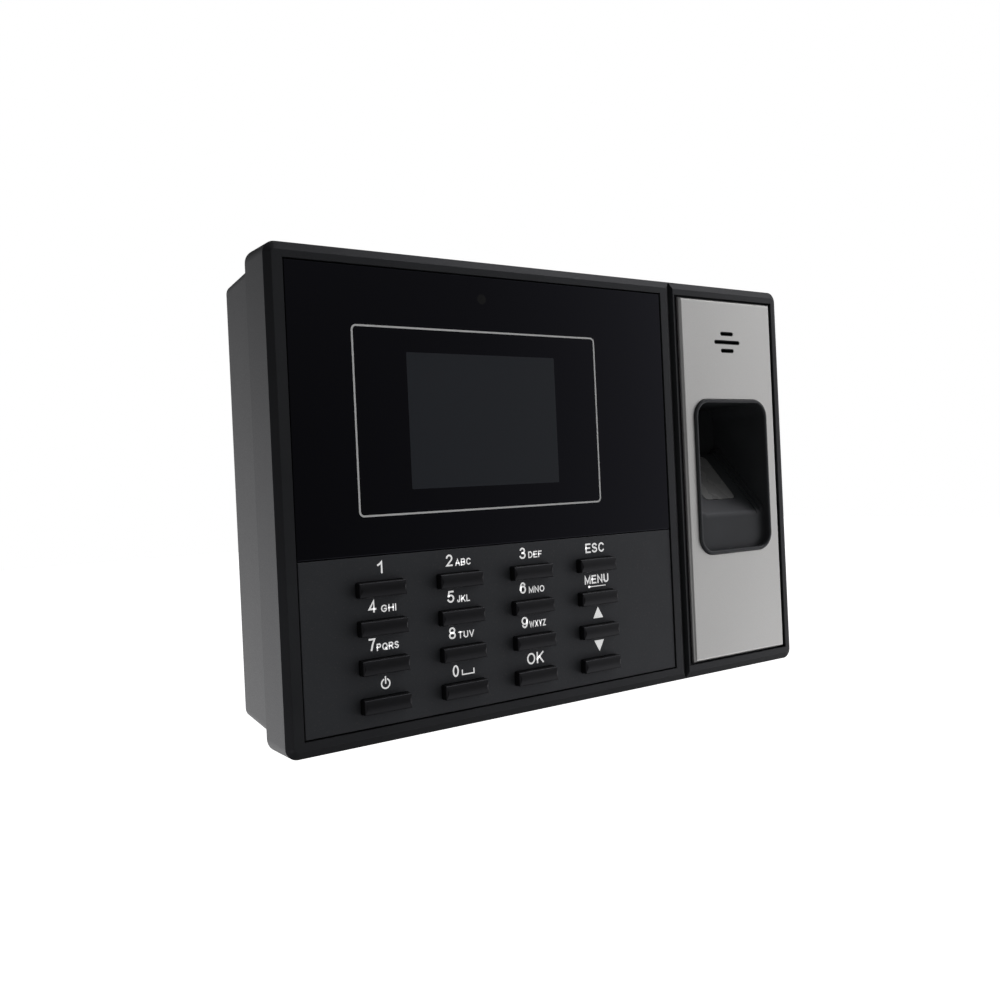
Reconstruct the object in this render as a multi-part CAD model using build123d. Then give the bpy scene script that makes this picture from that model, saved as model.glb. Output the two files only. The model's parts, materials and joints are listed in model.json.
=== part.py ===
"""Wall-mounted fingerprint terminal: a keypad and display behind one frame, a finger well behind another.

Layout frame, in millimetres: X from the left edge, Y depth behind the front rim, Z from the bottom edge.
write() moves every piece to the row frame: the origin is the centre of the wall plate's back face,
+X right, +Y into the wall, +Z up.
"""
from build123d import *
from math import cos, radians, sin, tan
import os

# Overall size
WIDTH = 187.0
HEIGHT = 130.0  # at the front rim
DEPTH = 44.0  # front rim to the wall
RIM_RADIUS = 3.3

# Front housing: a skirt that flares towards its eaves, then two raised frames with sloping borders
SKIRT = 14.0  # depth of the parting line
FLARE = 1.0  # how far the eaves stand out above and below the rim
EAVE_RADIUS = 4.0
WALL = 2.2
EAVE_WALL = 2.7  # the skirt's inside, in from the rim above and below
CREST = -1.5  # top of the raised frames
CREST_ROUND = 0.25
BORDER = 2.3  # width of a frame's slope
LEFT_BORDER = 1.7
VALLEY_X = 135.8  # the frames meet here
VALLEY_RISE = 0.6  # width of the right frame's steep slope, out of the valley
VALLEY_CREST = 0.5
PANEL_FACE = -1.2
FLOOR = 0.3  # seat of the lens and both panels
PLATE_BACK = 2.3  # back of the housing's front wall
RECESS_GAP = 0.35

# Left frame: lens above, keypad below
LENS = (4.9, 130.5, 49.6, 125.5)
KEYPAD = (4.9, 130.5, 4.7, 49.3)
# Right frame: one tall panel
SIDE_PANEL = (139.3, 182.9, 4.6, 125.5)
SIDE_PANEL_ROUND = 1.1
TAPE = 0.2

# Display
WINDOW = (38.1, 87.2, 66.3, 103.3)  # visible part of the display
DISPLAY = (32.7, 92.6, 63.5, 106.2)  # outline of the display module
STATUS = (62.8, 119.2)
STATUS_RADIUS = 1.4

# Keys
KEY_COLUMNS = 4
KEY_ROWS = 4
KEY_X = 27.15  # centre of the left column
KEY_Z = 10.5  # centre of the bottom row
KEY_PITCH_X = 24.0
KEY_PITCH_Z = 10.08
KEY_CAP = (13.7, 4.0)
KEY_GAP = 0.13
KEY_FLANGE = (16.4, 6.0)
KEY_RISE = 2.6  # cap above the keypad panel
KEY_CROWN = 0.45
KEY_ROUND = 0.5  # along the cap's long edges
KEY_CORNER = 0.4
KEY_END = 0.8  # at the cap's short ends
KEY_TRAVEL = 1.0
KEY_NAMES = [
    ["power", "0", "ok", "down"],
    ["7", "8", "9", "up"],
    ["4", "5", "6", "menu"],
    ["1", "2", "3", "esc"],
]

# Finger well
WELL = (143.95, 178.3, 39.65, 91.7)  # outside of the bezel
WELL_RADIUS = 6.0
WELL_WALL = 1.2
WELL_RIM = -1.95  # front of the bezel's rim
WELL_BACK = 24.0
WELL_X = (WELL[0] + WELL[1]) / 2
SADDLE_ANGLE = 47.0
SADDLE_FACE = 0.2  # depth of the saddle's upright front
SADDLE_Z = 52.6  # where the upright front turns into the slope
SADDLE_SKIN = 1.6
SADDLE_HALF = 12.4  # half the width of the groove
SADDLE_STEP = 1.6
SADDLE_LENGTH = 29.0
SADDLE_TURN = 3.0  # radius of the turn
SENSOR = (14.4, 20.5, 1.2)
SENSOR_UP = 17.4  # along the slope to the sensor's centre
FLANGE_FRONT = 5.3

# Speaker
SPEAKER = (160.9, 111.2)
SPEAKER_RADIUS = 13.0
SLOT_HEIGHT = 1.4
SLOT_PITCH = 2.88
SLOT_LENGTHS = (6.15, 12.15, 6.15)
LIP_FRONT = -1.0  # the housing's lips line the slots almost to the panel's face
LIP_GAP = 0.04
LIP_WALL = 0.2

# Rear housing
REAR_INSET_X = 1.6
REAR_INSET_Z = 2.2
REAR_DRAFT = 4.0  # of the left and right sides
REAR_RADIUS = 2.8
REAR_INNER_RADIUS = 1.2
REAR_EDGE = 43.6  # back rim of the rear housing
BACK_ROUND = 0.5
REAR_INNER = 37.4  # inside face of the back wall
REAR_SEAT = 39.6  # recess floor behind the wall plate, with room for its screw heads
TONGUE_GAP = 0.3

# Boards
BOARD = 1.6
MAIN_BOARD = (17.5, 134.0, 8.0, 116.0)
MAIN_FRONT = 22.0
KEYPAD_BOARD = (6.0, 130.0, 4.6, 48.0)
KEYPAD_BOARD_FRONT = 4.2
DISPLAY_BOARD = (28.0, 99.0, 58.0, 123.0)
DISPLAY_BOARD_FRONT = 6.2

# Sockets, all opening downwards: centre in X, width, height above the board
NETWORK = (40.0, 16.0, 13.4)
POWER = (66.0, 9.0, 11.0)
USB = (118.0, 14.4, 7.2)
SOCKET_MOUTH = 4.9
SOCKET_TOP = 20.5

# Wall plate
PLATE = (33.5, 153.5, 25.0, 105.0)
PLATE_THICK = 1.2
PLATE_FRONT = DEPTH - PLATE_THICK
WALL_HOLES = (100.0, 60.0)
WALL_HOLE_RADIUS = 2.25
HOOK_X = (53.5, 133.5)
HOOK_TOP = 98.0
HOOK_WIDTH = 12.0
HOOK_LIP = 2.6
LOCK_X = WIDTH / 2
LOCK_TAB = (14.0, 10.0)  # width, height of its lower face
LOCK_DEPTH = 37.5
LOCK_SCREW_SEAT = REAR_INSET_Z - 0.05
LOCK_SCREW_TOP = LOCK_TAB[1] + 3.0

# Fasteners
HOUSING_SCREWS = [(11.0, 11.0), (176.0, 11.0), (176.0, 119.0), (11.0, 119.0)]
SCREW_SEAT = 22.0
COLUMN_RADIUS = 4.4
MAIN_SCREWS = [(22.0, 27.0), (129.5, 27.0), (129.5, 111.0), (22.0, 111.0)]
KEYPAD_SCREWS = [(9.0, 20.0), (9.0, 44.5), (127.0, 9.0), (127.0, 44.5)]
DISPLAY_SCREWS = [(31.0, 61.0), (96.0, 61.0), (96.0, 119.5), (31.0, 119.5)]
WELL_SCREWS = [(141.0, 45.0), (181.7, 45.0), (181.7, 86.0), (141.0, 86.0)]
STRAP_SCREWS = [(143.6, 111.2), (178.2, 111.2)]
THREAD_CLEARANCE = 0.05


# ---------------------------------------------------------------- helpers
def at_depth(y):
    """Sketch plane at depth y: right is +X, up is +Z, and extruding comes forward."""
    return Plane.XZ.offset(-y)


def slab(outline, y_front, y_back, radius=0.0):
    """Plate with the outline (x0, x1, z0, z1) between two depths."""
    x0, x1, z0, z1 = outline
    flat = RectangleRounded(x1 - x0, z1 - z0, radius) if radius else Rectangle(x1 - x0, z1 - z0)
    centre = Pos((x0 + x1) / 2, (z0 + z1) / 2)
    return extrude(at_depth(y_back) * centre * flat, amount=y_back - y_front)


def around(centre, size):
    """Outline of the given size about a centre."""
    return (
        centre[0] - size[0] / 2,
        centre[0] + size[0] / 2,
        centre[1] - size[1] / 2,
        centre[1] + size[1] / 2,
    )


def grown(outline, gap):
    """The outline, moved outwards by gap on every side."""
    x0, x1, z0, z1 = outline
    return (x0 - gap, x1 + gap, z0 - gap, z1 + gap)


def rod(x, z, radius, y_front, y_back):
    """Round bar along the depth."""
    return extrude(at_depth(y_back) * Pos(x, z) * Circle(radius), amount=y_back - y_front)


def upright_rod(x, y, radius, z0, z1):
    """Round bar along Z."""
    return extrude(Plane.XY.offset(z0) * Pos(x, y) * Circle(radius), amount=z1 - z0)


def block(x, y, z):
    """Box from three (low, high) pairs."""
    size = (x[1] - x[0], y[1] - y[0], z[1] - z[0])
    return Pos(sum(x) / 2, sum(y) / 2, sum(z) / 2) * Box(*size)


def key_centre(column, level):
    return (KEY_X + column * KEY_PITCH_X, KEY_Z + level * KEY_PITCH_Z)


def key_centres():
    return [key_centre(c, r) for r in range(KEY_ROWS) for c in range(KEY_COLUMNS)]


def write(name, *pieces):
    """Write the pieces as one node, in the row frame."""
    shift = Pos(-WIDTH / 2, -DEPTH, -HEIGHT / 2)
    solids = [shift * solid for piece in pieces for solid in piece.solids()]
    shape = solids[0] if len(solids) == 1 else Compound(children=solids)
    export_step(shape, f"parts/{name}.step")


# ---------------------------------------------------------------- front housing
def raised_frame(x_range, borders, outer_side):
    """One raised frame: sloping borders rise from the rim to a flat crest, sharp towards the valley.

    borders are the widths of the left and right slopes; outer_side is 0 if the left side is the outer one, or -1.
    """

    def outline(left, right, inset, radius):
        x0, x1 = x_range[0] + left, x_range[1] - right
        flat = Rectangle(x1 - x0, HEIGHT - 2 * inset)
        side = flat.vertices().group_by(Axis.X)[outer_side]
        return Pos((x0 + x1) / 2, HEIGHT / 2) * fillet(side, radius)

    low = at_depth(0.0) * outline(0.0, 0.0, 0.0, RIM_RADIUS)
    high = at_depth(CREST) * outline(*borders, BORDER, RIM_RADIUS - BORDER)
    frame = loft([low, high], ruled=True)
    edges = frame.faces().sort_by(Axis.Y)[0].edges().sort_by(Axis.X)
    return fillet(edges[1:] if outer_side else edges[:-1], CREST_ROUND)


def speaker_slots(y_front, y_back, gap=0.0):
    """The three stacked speaker slots as solids, grown by gap."""
    slots = []
    for step, length in zip((1, 0, -1), SLOT_LENGTHS):
        centre = (SPEAKER[0], SPEAKER[1] + step * SLOT_PITCH)
        size = (length + 2 * gap, SLOT_HEIGHT + 2 * gap)
        slots.append(slab(around(centre, size), y_front, y_back, size[1] / 2 - 0.01))
    return slots


def front_housing():
    rim = at_depth(0.0) * Pos(WIDTH / 2, HEIGHT / 2) * RectangleRounded(WIDTH, HEIGHT, RIM_RADIUS)
    eaves = RectangleRounded(WIDTH, HEIGHT + 2 * FLARE, EAVE_RADIUS)
    skirt = loft([rim, at_depth(SKIRT) * Pos(WIDTH / 2, HEIGHT / 2) * eaves], ruled=True)
    body = skirt + raised_frame((0, VALLEY_X), (LEFT_BORDER, BORDER), 0)
    body += raised_frame((VALLEY_X, WIDTH), (VALLEY_RISE, BORDER), -1)
    body -= slab((WALL, WIDTH - WALL, EAVE_WALL, HEIGHT - EAVE_WALL), PLATE_BACK, SKIRT, 1.2)
    x0, x1, z0, z1 = grown(SIDE_PANEL, RECESS_GAP)
    x0 = VALLEY_X + VALLEY_RISE + VALLEY_CREST  # a dark gutter lies left of the side panel
    left_recess = grown((LENS[0], LENS[1], KEYPAD[2], LENS[3]), RECESS_GAP)
    for recess in (left_recess, (x0, x1, z0, z1)):
        body -= slab(recess, CREST - 1, FLOOR)

    through = (CREST, PLATE_BACK + 0.1)
    body -= slab(grown(WINDOW, 1.5), *through, 1.0)
    body -= rod(*STATUS, STATUS_RADIUS + 0.15, *through)
    body -= slab((12.0, 124.0, 6.6, 46.6), *through, 1.0)
    body -= slab(grown(WELL, 0.25), *through, WELL_RADIUS + 0.25)
    for lip in speaker_slots(LIP_FRONT, FLOOR + 0.1, gap=-LIP_GAP):
        body += lip
    for slot in speaker_slots(*through, gap=-LIP_GAP - LIP_WALL):
        body -= slot

    posts = [(HOUSING_SCREWS, 3.6, SKIRT - 0.3, 1.3)]
    posts.append((KEYPAD_SCREWS, 2.2, KEYPAD_BOARD_FRONT, 0.95))
    posts.append((DISPLAY_SCREWS, 2.4, DISPLAY_BOARD_FRONT, 0.95))
    posts.append((WELL_SCREWS, 2.3, FLANGE_FRONT, 0.95))
    posts.append((STRAP_SCREWS, 2.4, 9.2, 0.95))
    for places, radius, end, hole in posts:
        for x, z in places:
            body += rod(x, z, radius, PLATE_BACK - 0.2, end)
        for x, z in places:
            body -= rod(x, z, hole, PLATE_BACK - 0.2, end)
    return body


# ---------------------------------------------------------------- rear housing
def rear_section(y, wall=0.0):
    """Outline of the tub at depth y, inside its wall: the left and right sides are drafted."""
    run = (y - SKIRT) * tan(radians(REAR_DRAFT))
    width = WIDTH - 2 * (REAR_INSET_X + run + wall)
    height = HEIGHT - 2 * (REAR_INSET_Z + wall)
    flat = RectangleRounded(width, height, REAR_INNER_RADIUS if wall else REAR_RADIUS)
    return at_depth(y) * Pos(WIDTH / 2, HEIGHT / 2) * flat


def socket_outline(socket):
    """(x range, y range) of a socket standing on the back of the main board."""
    x, width, height = socket
    return (x - width / 2, x + width / 2), (MAIN_FRONT + BOARD + 0.02, MAIN_FRONT + BOARD + height)


def rear_housing():
    shell = loft([rear_section(SKIRT), rear_section(REAR_EDGE)], ruled=True)
    back_edges = shell.faces().sort_by(Axis.Y)[-1].edges()
    shell = fillet(back_edges, BACK_ROUND)
    side = WALL + TONGUE_GAP
    level = EAVE_WALL + TONGUE_GAP
    shell += slab((side, WIDTH - side, level, HEIGHT - level), SKIRT - 2.4, SKIRT + 0.05, 1.5)
    shell -= loft([rear_section(SKIRT - 2.6, WALL), rear_section(REAR_INNER, WALL)], ruled=True)

    for x, z in HOUSING_SCREWS:
        shell += rod(x, z, COLUMN_RADIUS, SKIRT, REAR_SEAT)
        shell -= rod(x, z, 3.3, SCREW_SEAT, DEPTH)
        shell -= rod(x, z, 1.7, SKIRT - 1, DEPTH)
    for x, z in MAIN_SCREWS:
        shell += rod(x, z, 3.0, MAIN_FRONT + BOARD, REAR_INNER + 0.2)
        shell -= rod(x, z, 1.25, MAIN_FRONT, REAR_INNER)

    seat = grown(PLATE, 2.0)
    shell -= slab(seat, REAR_SEAT, DEPTH, 2.0)
    tongue_seat = (LOCK_X - LOCK_TAB[0] / 2 - 2, LOCK_X + LOCK_TAB[0] / 2 + 2, 7.0, PLATE[2])
    shell -= slab(tongue_seat, REAR_SEAT, DEPTH)
    for x in HOOK_X:
        gap_low = HOOK_TOP - PLATE_THICK - HOOK_LIP - 0.4
        slot = (x - HOOK_WIDTH / 2 - 0.5, x + HOOK_WIDTH / 2 + 0.5, gap_low, HOOK_TOP + 0.05)
        shell -= slab(slot, REAR_INNER - 1, DEPTH)
    half = LOCK_TAB[0] / 2 + 0.5
    lock_slot = (LOCK_X - half, LOCK_X + half, 7.4, LOCK_TAB[1] + PLATE_THICK + 0.2)
    shell -= slab(lock_slot, REAR_INNER - 1, DEPTH)
    shell -= upright_rod(LOCK_X, LOCK_DEPTH, 1.7, 0, LOCK_SCREW_TOP + 0.5)

    for socket in (NETWORK, POWER, USB):
        (x0, x1), (y0, y1) = socket_outline(socket)
        shell -= block((x0 - 0.3, x1 + 0.3), (y0 - 0.3, y1 + 0.3), (1.0, 7.5))
    return shell


# ---------------------------------------------------------------- lens, panels and display
def softened(plate, size):
    """Plate with the edges of its front face broken."""
    front = plate.faces().sort_by(Axis.Y)[0]
    return fillet(front.outer_wire().edges(), size)


def display_lens():
    return softened(slab(LENS, PANEL_FACE, FLOOR - TAPE), 0.2)


def lens_tape():
    tape = slab(grown(LENS, -1.2), FLOOR - TAPE, FLOOR)
    tape -= slab(grown(WINDOW, 2.5), -1, 1)
    return tape - rod(*STATUS, STATUS_RADIUS + 0.6, -1, 1)


def display_glass():
    return slab(grown(DISPLAY, -0.3), PLATE_BACK + 0.1, PLATE_BACK + 1.1)


def display_frame():
    x0, x1, z0, z1 = DISPLAY
    frame = slab(DISPLAY, PLATE_BACK + 1.12, PLATE_BACK + 2.9, 0.8)
    return frame + slab((x0 + 18, x1 - 18, z0 - 4, z0 + 1), PLATE_BACK + 1.12, PLATE_BACK + 1.5)


def display_board():
    board = slab(DISPLAY_BOARD, DISPLAY_BOARD_FRONT, DISPLAY_BOARD_FRONT + BOARD, 1.0)
    for x, z in DISPLAY_SCREWS:
        board -= rod(x, z, 1.2, 5, 9)
    return board


def light_pipe():
    stem = rod(*STATUS, STATUS_RADIUS, FLOOR - TAPE + 0.02, PLATE_BACK + 0.05)
    return stem + rod(*STATUS, STATUS_RADIUS + 0.7, PLATE_BACK + 0.05, PLATE_BACK + 2.4)


def status_led():
    led_front = PLATE_BACK + 2.5
    base = slab(around(STATUS, (3.2, 2.8)), led_front + 0.6, DISPLAY_BOARD_FRONT)
    return base + rod(*STATUS, 1.1, led_front, led_front + 0.7)


def keypad_panel():
    panel = softened(slab(KEYPAD, PANEL_FACE, FLOOR), 0.2)
    for centre in key_centres():
        panel -= slab(grown(around(centre, KEY_CAP), KEY_GAP), -3, 1, KEY_CORNER + KEY_GAP)
    return panel


def key(column, level):
    """Bar key: a slightly crowned cap, and a flange that stops behind the panel."""
    x, z = key_centre(column, level)
    width, height = KEY_CAP
    front = PANEL_FACE - KEY_RISE
    back = FLOOR + 0.1
    edge = front + KEY_CROWN
    crown = ThreePointArc((edge, -height / 2), (front, 0), (edge, height / 2))
    sides = Polyline((edge, height / 2), (back, height / 2), (back, -height / 2), (edge, -height / 2))
    side_view = make_face([crown, sides])
    side_view = fillet(side_view.vertices().group_by(Axis.X)[0], KEY_ROUND)
    cap = extrude(Plane.YZ.offset(x - width / 2) * Pos(0, z) * side_view, amount=width)

    depth = back - front + 1
    top_view = Pos(x, front + depth / 2) * Rectangle(width, depth)
    top_view = fillet(top_view.vertices().group_by(Axis.Y)[0], KEY_END)
    cap &= extrude(Plane.XY.offset(z - height) * top_view, amount=2 * height)
    cap &= slab(around((x, z), KEY_CAP), front - 1, back, KEY_CORNER)
    return cap + slab(around((x, z), KEY_FLANGE), FLOOR + 0.05, FLOOR + 1.05, 0.8)


def keypad_membrane():
    """Silicone sheet with one dome behind each key, drawn as it is when pressed."""
    sheet_front = KEYPAD_BOARD_FRONT - 0.8
    crown = FLOOR + 1.05 + KEY_TRAVEL + 0.05
    sheet = slab((12.6, 123.4, 5.2, 47.6), sheet_front, KEYPAD_BOARD_FRONT, 1.0)
    for x, z in key_centres():
        low = at_depth(sheet_front + 0.1) * Pos(x, z) * Circle(2.9)
        high = at_depth(crown) * Pos(x, z) * Circle(2.0)
        sheet += loft([low, high])
    return sheet - rod(*HOUSING_SCREWS[0], 4.6, 0, 7)


def keypad_board():
    back = KEYPAD_BOARD_FRONT + BOARD
    board = slab(KEYPAD_BOARD, KEYPAD_BOARD_FRONT + 0.02, back, 1.0)
    for x, z in KEYPAD_SCREWS:
        board -= rod(x, z, 1.2, 4, 7)
    return board - rod(*HOUSING_SCREWS[0], 4.6, 0, 7)


def side_panel():
    panel = softened(slab(SIDE_PANEL, PANEL_FACE, FLOOR - TAPE), SIDE_PANEL_ROUND)
    panel -= slab(grown(WELL, 0.2), -3, 1, WELL_RADIUS + 0.2)
    for slot in speaker_slots(-3, 1):
        panel -= slot
    return panel


def side_panel_tape():
    tape = slab(grown(SIDE_PANEL, -1.2), FLOOR - TAPE, FLOOR)
    tape -= slab(grown(WELL, 1.5), -1, 1, WELL_RADIUS + 1.5)
    return tape - slab(around(SPEAKER, (16, 11)), -1, 1)


# ---------------------------------------------------------------- finger well
def slope_point(along, outward=0.0):
    """(y, z) of a point along the saddle's slope, and outward of it."""
    angle = radians(SADDLE_ANGLE)
    y = SADDLE_FACE + along * cos(angle) - outward * sin(angle)
    z = SADDLE_Z + along * sin(angle) + outward * cos(angle)
    return (y, z)


def saddle_slice(x0, x1, rise):
    """A stretch of the saddle's skin, raised above the slope by rise."""
    lift = rise / cos(radians(SADDLE_ANGLE))
    bottom = WELL[2] + WELL_WALL / 2
    skin_lift = SADDLE_SKIN / cos(radians(SADDLE_ANGLE))
    top_y, top_z = slope_point(SADDLE_LENGTH)
    top_z += lift
    back = WELL_BACK - WELL_WALL / 2
    inner = SADDLE_FACE + SADDLE_SKIN
    inner_top = SADDLE_Z + SADDLE_SKIN * tan(radians(SADDLE_ANGLE)) - skin_lift
    low_top_y, low_top_z = slope_point(SADDLE_LENGTH)
    points = [
        (SADDLE_FACE, bottom),
        (SADDLE_FACE, SADDLE_Z + lift),
        (top_y, top_z),
        (back, top_z),
        (back, low_top_z - SADDLE_SKIN),
        (low_top_y + SADDLE_SKIN * 0.4, low_top_z - SADDLE_SKIN),
        (inner, inner_top),
        (inner, bottom),
    ]
    face = make_face(Polyline(*points, close=True))
    turn = [v for v in face.vertices() if abs(v.X - SADDLE_FACE) < 0.01 and v.Y > SADDLE_Z - 1]
    face = fillet(turn, SADDLE_TURN)
    return extrude(Plane.YZ.offset(x0) * face, amount=x1 - x0)


def sensor_plane(outward=0.0):
    """Plane on the slope at the sensor's centre: up is up the slope, and extruding comes outward."""
    y, z = slope_point(SENSOR_UP, outward)
    angle = radians(SADDLE_ANGLE)
    return Plane(origin=(WELL_X, y, z), x_dir=(1, 0, 0), z_dir=(0, -sin(angle), cos(angle)))


def sensor_block(width, length, front, back, radius):
    """Block parallel to the sensor, between two distances behind the slope."""
    flat = RectangleRounded(width, length, radius)
    return extrude(sensor_plane(-back) * flat, amount=back - front)


def fingerprint_bezel():
    inside = grown(WELL, -WELL_WALL)
    bezel = slab(WELL, WELL_RIM, WELL_BACK, WELL_RADIUS)
    bezel = fillet(bezel.faces().sort_by(Axis.Y)[0].edges(), 0.45)
    cavity = slab(inside, WELL_RIM - 1, WELL_BACK - WELL_WALL, WELL_RADIUS - WELL_WALL)
    bezel -= cavity
    rim = bezel.faces().sort_by(Axis.Y)[0]
    bezel = fillet(rim.inner_wires()[0].edges(), 0.45)

    saddle = saddle_slice(WELL_X - SADDLE_HALF, WELL_X + SADDLE_HALF, 0.0)
    # A low step runs up each side of the finger's groove, and a shoulder rises outside it.
    steps = [(0.0, SADDLE_STEP, 0.4), (SADDLE_STEP, 4.2, 1.2)]
    for start, end, rise in steps:
        near, far = SADDLE_HALF + start, SADDLE_HALF + end + 0.02
        saddle += saddle_slice(WELL_X + near - 0.02, WELL_X + far, rise)
        saddle += saddle_slice(WELL_X - far, WELL_X - near + 0.02, rise)
    bezel += saddle & slab(grown(WELL, -0.4), -1, WELL_BACK - 0.3, WELL_RADIUS - 0.4)

    # The back is open below the saddle for the sensor's module.
    below = slope_point(SADDLE_LENGTH)[1] - SADDLE_SKIN - 0.5
    hollow = (inside[0] + 0.6, inside[1] - 0.6, inside[2] + 0.6, below)
    bezel -= slab(hollow, WELL_BACK - WELL_WALL - 0.2, WELL_BACK + 1)

    flange = slab((138.4, 184.2, 42.0, 89.0), FLANGE_FRONT, FLANGE_FRONT + 1.5, 1.0)
    flange -= slab(grown(WELL, -0.3), 0, 10, WELL_RADIUS - 0.3)
    bezel += flange
    for x, z in WELL_SCREWS:
        bezel -= rod(x, z, 1.2, 4, 9)
    return bezel - sensor_block(SENSOR[0] + 0.5, SENSOR[1] + 0.5, -3, 3.2, 1.7)


def sensor_window():
    return sensor_block(SENSOR[0], SENSOR[1], -0.05, SENSOR[2], 1.5)


def sensor_module():
    nose = sensor_block(SENSOR[0] - 0.6, SENSOR[1] - 0.6, SENSOR[2] + 0.02, 3.5, 1.2)
    return nose + sensor_block(SENSOR[0] + 3.4, SENSOR[1] + 2.0, 3.4, 11.0, 1.0)


def sensor_board():
    return sensor_block(SENSOR[0] + 5.7, SENSOR[1] + 3.0, 11.02, 11.02 + BOARD, 1.0)


# ---------------------------------------------------------------- speaker
def speaker_gasket():
    ring = rod(*SPEAKER, SPEAKER_RADIUS, PLATE_BACK + 0.02, PLATE_BACK + 0.8)
    return ring - rod(*SPEAKER, SPEAKER_RADIUS - 2.5, 0, 5)


def speaker():
    front = PLATE_BACK + 0.82
    basket = rod(*SPEAKER, SPEAKER_RADIUS, front, front + 2.2)
    basket += rod(*SPEAKER, SPEAKER_RADIUS - 3, front + 2, front + 4)
    basket += rod(*SPEAKER, 6.5, front + 3.8, front + 6)
    dish = loft([
        at_depth(front) * Pos(*SPEAKER) * Circle(SPEAKER_RADIUS - 2.4),
        at_depth(front + 1.6) * Pos(*SPEAKER) * Circle(3.5),
    ])
    return basket - dish


def speaker_strap():
    centre = (SPEAKER[0], SPEAKER[1])
    strap = slab(around(centre, (40.0, 6.6)), 9.22, 10.4, 2.0)
    for x, z in STRAP_SCREWS:
        strap -= rod(x, z, 1.2, 8, 12)
    return strap


# ---------------------------------------------------------------- boards and what is on them
def main_board():
    board = slab(MAIN_BOARD, MAIN_FRONT, MAIN_FRONT + BOARD - 0.02, 1.5)
    for x, z in MAIN_SCREWS:
        board -= rod(x, z, 1.6, MAIN_FRONT - 1, MAIN_FRONT + 3)
    return board


def board_chips():
    """Processor, memory and small parts on the front of the main board."""
    chips = []
    places = [((64, 66), (14, 14), 1.3), ((86, 66), (12, 8), 1.1), ((86, 80), (12, 8), 1.1)]
    places += [((40, 70), (9, 9), 1.2), ((112, 92), (7, 7), 1.0), ((44, 48), (6, 5), 1.5)]
    for centre, size, height in places:
        chips.append(slab(around(centre, size), MAIN_FRONT - height, MAIN_FRONT - 0.01, 0.3))
    for step in range(5):
        cap = rod(30 + step * 8, 36, 2.4, MAIN_FRONT - 5, MAIN_FRONT - 0.01)
        chips.append(cap)
    return chips


def network_socket():
    (x0, x1), (y0, y1) = socket_outline(NETWORK)
    body = block((x0, x1), (y0, y1), (SOCKET_MOUTH, SOCKET_TOP))
    middle = NETWORK[0]
    body -= block((middle - 5.9, middle + 5.9), (y0 + 2.0, y0 + 9.2), (0, SOCKET_TOP - 2))
    return body - block((middle - 3, middle + 3), (y0 + 9, y0 + 11.2), (0, SOCKET_TOP - 4))


def power_jack():
    (x0, x1), (y0, y1) = socket_outline(POWER)
    middle = (POWER[0], (y0 + y1) / 2)
    body = block((x0, x1), (y0, y1), (SOCKET_MOUTH, 18.5))
    body -= upright_rod(*middle, 3.2, 0, 15.5)
    return body + upright_rod(*middle, 1.0, SOCKET_MOUTH + 1.5, 16)


def usb_socket():
    (x0, x1), (y0, y1) = socket_outline(USB)
    body = block((x0, x1), (y0, y1), (SOCKET_MOUTH, 19.0))
    body -= block((x0 + 0.7, x1 - 0.7), (y0 + 1.0, y1 - 0.7), (0, 16.0))
    tongue = block((x0 + 1.5, x1 - 1.5), (y0 + 2.6, y0 + 4.4), (SOCKET_MOUTH + 1.0, 17.0))
    return body + tongue


def cell_holder():
    back = MAIN_FRONT + BOARD
    holder = rod(100, 70, 12.0, back, back + 4.6)
    holder -= rod(100, 70, 10.2, back + 1.0, back + 6)
    return holder - block((96, 104), (back + 2, back + 6), (80, 84))


def coin_cell():
    back = MAIN_FRONT + BOARD
    return rod(100, 70, 10.0, back + 1.02, back + 4.2)


def ribbon(x0, x1, points, bend):
    """Flat ribbon 0.4 thick that runs in depth and height through the points (y, z)."""
    path = FilletPolyline(*points, radius=bend)
    return extrude(Plane.YZ.offset(x0) * trace(path, 0.4), amount=x1 - x0)


def ribbons():
    """Ribbons from the display, keypad and sensor boards to the main board."""
    display_back = DISPLAY_BOARD_FRONT + BOARD
    keypad_back = KEYPAD_BOARD_FRONT + BOARD
    display = [(display_back + 2.0, 72.0), (15.0, 72.0), (15.0, 90.0), (MAIN_FRONT - 2.0, 90.0)]
    keypad = [(keypad_back + 2.0, 26.0), (15.0, 26.0), (15.0, 44.0), (MAIN_FRONT - 2.0, 44.0)]
    return [ribbon(64, 84, display, 2.0), ribbon(96, 108, keypad, 2.0)]


def board_connectors():
    """Sockets at both ends of each ribbon."""
    display_back = DISPLAY_BOARD_FRONT + BOARD
    keypad_back = KEYPAD_BOARD_FRONT + BOARD
    ends = [((74, 72), 22, display_back + 0.02), ((74, 90), 22, MAIN_FRONT - 2.0)]
    ends += [((102, 26), 14, keypad_back + 0.02), ((102, 44), 14, MAIN_FRONT - 2.0)]
    blocks = []
    for centre, width, front in ends:
        blocks.append(slab(around(centre, (width, 3.6)), front, front + 1.96))
    return blocks


def speaker_leads():
    """Two round leads from the speaker to the main board."""
    leads = []
    for offset in (-1.2, 1.2):
        z = SPEAKER[1] - 6.0 + offset
        start = PLATE_BACK + 0.82 + 4.02
        corners = [(153.5, start, z), (153.5, 18.0, z), (132.0, 18.0, z), (132.0, MAIN_FRONT - 0.02, z)]
        path = FilletPolyline(*corners, radius=3.0)
        section = Plane(origin=path @ 0, z_dir=path % 0) * Circle(0.6)
        leads.append(sweep(section, path))
    return leads


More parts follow.
